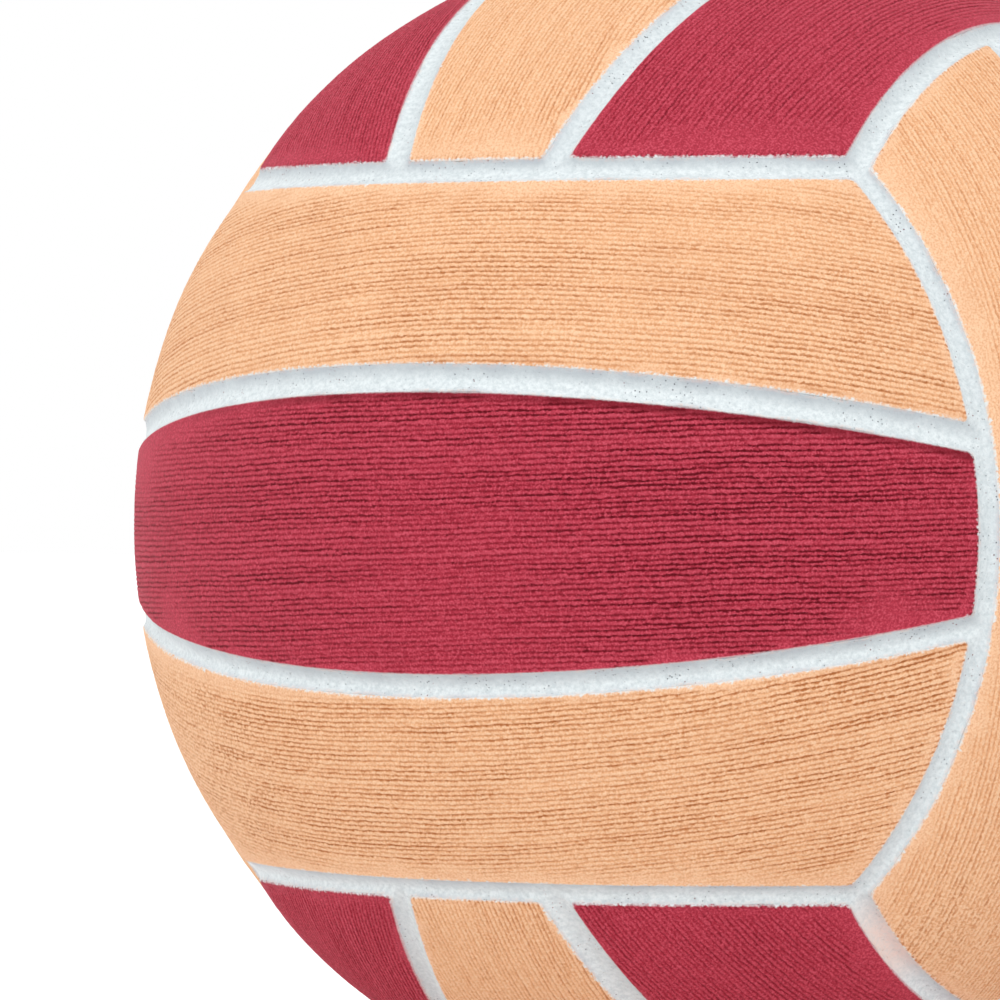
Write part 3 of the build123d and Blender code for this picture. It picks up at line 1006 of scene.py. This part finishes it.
def paint_stain(shader, mottle):
    """How far the paint is stained round one place."""
    middle = tuple(value * MM for value in STAIN_PLACE)
    reach = STAIN_REACH * MM
    apart = shader.node("ShaderNodeVectorMath", {0: shader.spot, 1: middle}, operation="DISTANCE")
    near = shader.spread(apart.outputs["Value"], PATCH_CORE * reach, reach, 0.8, 0)
    return shader.times(near, shader.spread(mottle, 0.3, 0.6, 0.6, 1))


def channel_paint(name):
    """White rubber in the channels, with painted shade along their upper sides, and pinholes, specks and
    wrinkles.
    """
    shader = Shader(name)
    gap = shader.attribute("gap")
    head = shader.attribute("head")
    mottle = shader.noise(0.8, 4, 0.65)
    # Patches for the smudges near the panel edges and for the painted shade
    dirt_and_shade = shader.noise(7, 3, 0.6)
    wrinkles = shader.noise(1.1, 2, 0.5, 1.2)
    holes = pinholes(shader, head)
    # Painted shade: each channel's upper side greyed, as light from above leaves it
    upper_shade = shader.times(shader.spread(head, -0.2, 0.7), shader.spread(dirt_and_shade, 0.3, 0.6, 0.6, 1.05))
    smudge = shader.times(shader.spread(gap, 0.1, 0.9, 1, 0), shader.spread(dirt_and_shade, 0.45, 0.62))
    speck = shader.mix(shader.spread(shader.noise(4, 0), 0.6, 0.64), PINHOLE_GREY, CRIMSON_SPECK)
    trace = shader.times(shader.spread(gap, 0, 0.45, 0.45, 0), shader.spread(mottle, 0.42, 0.6))
    colour = shader.mix(shader.spread(mottle, 0.35, 0.62), MOTTLED_PAINT, WHITE_PAINT)
    for share, tint in (
        (upper_shade, PAINTED_UPPER_SHADE),
        (shader.spread(smudge, 0, 1, 0, 0.3), SMUDGE),
        (holes, speck),
        (trace, PEACH_TRACE),
        (paint_stain(shader, mottle), PINK_STAIN),
    ):
        colour = shader.mix(share, colour, tint)
    shader.fill(shader.surface, {"Specular IOR Level": 0.6})
    relief = shader.bump(holes, -0.15, shader.bump(wrinkles, 0.2, shader.bump(mottle, 0.09)))
    return shader.finish(colour, shader.spread(mottle, 0.3, 0.7, 0.32, 0.46), relief)


def moulded_rubber(name, colour, shade):
    """Smooth moulded rubber with a faint cloudy bloom and fine grain."""
    shader = Shader(name)
    bloom = shader.noise(3, 3, 0.6)
    grain = shader.noise(0.25, 2)
    blend = shader.mix(shader.spread(bloom, 0.35, 0.7), colour, shade)
    blend = shader.mix(shader.spread(grain, 0.4, 0.7, 0, 0.25), blend, shade)
    return shader.finish(blend, shader.spread(bloom, 0.3, 0.7, 0.45, 0.62), shader.bump(grain, 0.015))


def wound_nylon(name):
    """Nylon thread wound in crossing turns."""
    shader = Shader(name)
    heights = []
    for direction in ("X", "Z"):
        inputs = {"Vector": shader.spot, "Scale": 1 / (14 * MM), "Distortion": 2.0, "Detail": 1.0}
        wave = shader.node("ShaderNodeTexWave", inputs, bands_direction=direction)
        heights.append(wave.outputs["Fac"])
    height = shader.math("MAXIMUM", *heights)
    # The low parts between the turns get a painted shade
    colour = shader.mix(height, THREAD_SHADE, THREAD)
    return shader.finish(colour, shader.spread(height, 0, 1, 0.7, 0.4), shader.bump(height, 0.2))


# Stage

def background_rays(tree):
    """1 for rays that see the background, straight or in a reflection, and 0 for the rest."""
    path = tree.nodes.new("ShaderNodeLightPath")
    seen = path.outputs["Is Camera Ray"]
    for ray in ("Is Glossy Ray", "Is Transmission Ray"):
        either = tree.nodes.new("ShaderNodeMath")
        either.operation = "MAXIMUM"
        tree.links.new(seen, either.inputs[0])
        tree.links.new(path.outputs[ray], either.inputs[1])
        seen = either.outputs[0]
    return seen


def pale_floor(name):
    """A matt floor that is white in the picture and keeps the ball's shadow."""
    shader = Shader(name)
    shader.fill(shader.surface, {"Base Color": FLOOR_COLOUR, "Roughness": 0.9})
    glow = shader.node("ShaderNodeEmission", {"Color": FLOOR_GLOW, "Strength": background_rays(shader.tree)})
    both = shader.node("ShaderNodeAddShader", {0: shader.surface.outputs[0], 1: glow.outputs[0]})
    shader.fill(shader.tree.nodes["Material Output"], {"Surface": both.outputs[0]})
    return shader.material


def studio_floor():
    level = -BALL_RADIUS * MM
    corners = [(x * FLOOR_REACH, y * FLOOR_REACH, level) for x, y in ((-1, -1), (1, -1), (1, 1), (-1, 1))]
    mesh = bpy.data.meshes.new("floor")
    mesh.from_pydata(corners, [], [(0, 1, 2, 3)])
    mesh.materials.append(pale_floor("pale_floor"))
    floor = add_object("floor", mesh)


def studio_world():
    """White where it is seen, and a little less as light on the ball."""
    world = bpy.data.worlds.new("studio")
    bpy.context.scene.world = world
    world.use_nodes = True
    tree = world.node_tree
    background = tree.nodes["Background"]
    background.inputs["Color"].default_value = (1, 1, 1, 1)
    strength = tree.nodes.new("ShaderNodeMapRange")
    tree.links.new(background_rays(tree), strength.inputs["Value"])
    strength.inputs["To Min"].default_value = AMBIENT_LIGHT
    strength.inputs["To Max"].default_value = 1.0
    tree.links.new(strength.outputs["Result"], background.inputs["Strength"])


def soft_light(name, place, size, power):
    light = bpy.data.lights.new(name, "AREA")
    light.size = size
    light.energy = power
    lamp = add_object(name, light)
    lamp.location = place
    lamp.rotation_euler = (-Vector(place)).to_track_quat("-Z", "Y").to_euler()


def studio_camera():
    """A long lens, turned so that the ball stands right of the middle and runs out of the picture."""
    data = bpy.data.cameras.new("camera")
    data.sensor_width = SENSOR_MM
    data.lens = LENS_MM
    camera = add_object("camera", data)
    bpy.context.scene.camera = camera
    level = cos(CAMERA_ELEVATION)
    away = Vector((sin(CAMERA_AZIMUTH) * level, -cos(CAMERA_AZIMUTH) * level, sin(CAMERA_ELEVATION)))
    camera.location = away * CAMERA_DISTANCE
    look = (-away).to_track_quat("-Z", "Y")
    right = look @ Vector((1, 0, 0))
    up = look @ Vector((0, 1, 0))
    pixel = CAMERA_DISTANCE * SENSOR_MM / LENS_MM / PICTURE_PIXELS
    middle = PICTURE_PIXELS / 2
    target = right * (middle - BALL_CENTRE_PIXEL[0]) * pixel + up * (BALL_CENTRE_PIXEL[1] - middle) * pixel
    camera.rotation_euler = (target - camera.location).to_track_quat("-Z", "Y").to_euler()


# Everything in place

bpy.context.scene.view_settings.view_transform = "Standard"

finishes = {
    "peach_grip": grip_rubber("peach_grip", PEACH, side_teeth=1.3),
    "crimson_grip": grip_rubber("crimson_grip", CRIMSON, side_teeth=0.25),
    "white_carcass": channel_paint("white_carcass"),
    "nylon_winding": wound_nylon("nylon_winding"),
    "bladder_rubber": moulded_rubber("bladder_rubber", srgb(34, 34, 36), srgb(52, 52, 54)),
    "valve_rubber": moulded_rubber("valve_rubber", srgb(38, 38, 40), srgb(58, 58, 60)),
    "valve_core": moulded_rubber("valve_core", srgb(150, 146, 138), srgb(172, 168, 160)),
}

for number, (face, strip) in enumerate(all_strips(), start=1):
    slot = grip_slot(face, strip)
    panel = panel_piece(f"grip_{face}_{strip}", face, strip, number * PANEL_SEED_STEP)
    panel.data.materials.append(finishes[slot])
    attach(panel, "ball")
    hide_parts(panel_node(face, strip))

channels = channel_skin("white_channels")
channels.data.materials.append(finishes["white_carcass"])
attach(channels, "ball")
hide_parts("ribbed_carcass")

for node, slot in (("nylon_winding", "nylon_winding"), ("bladder", "bladder_rubber"),
                   ("valve_housing", "valve_rubber"), ("valve_core", "valve_core")):
    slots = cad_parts[node].data.materials
    slots.clear()
    slots.append(finishes[slot])

studio_floor()
studio_world()
for name, lamp in LAMPS.items():
    soft_light(name, *lamp)
studio_camera()
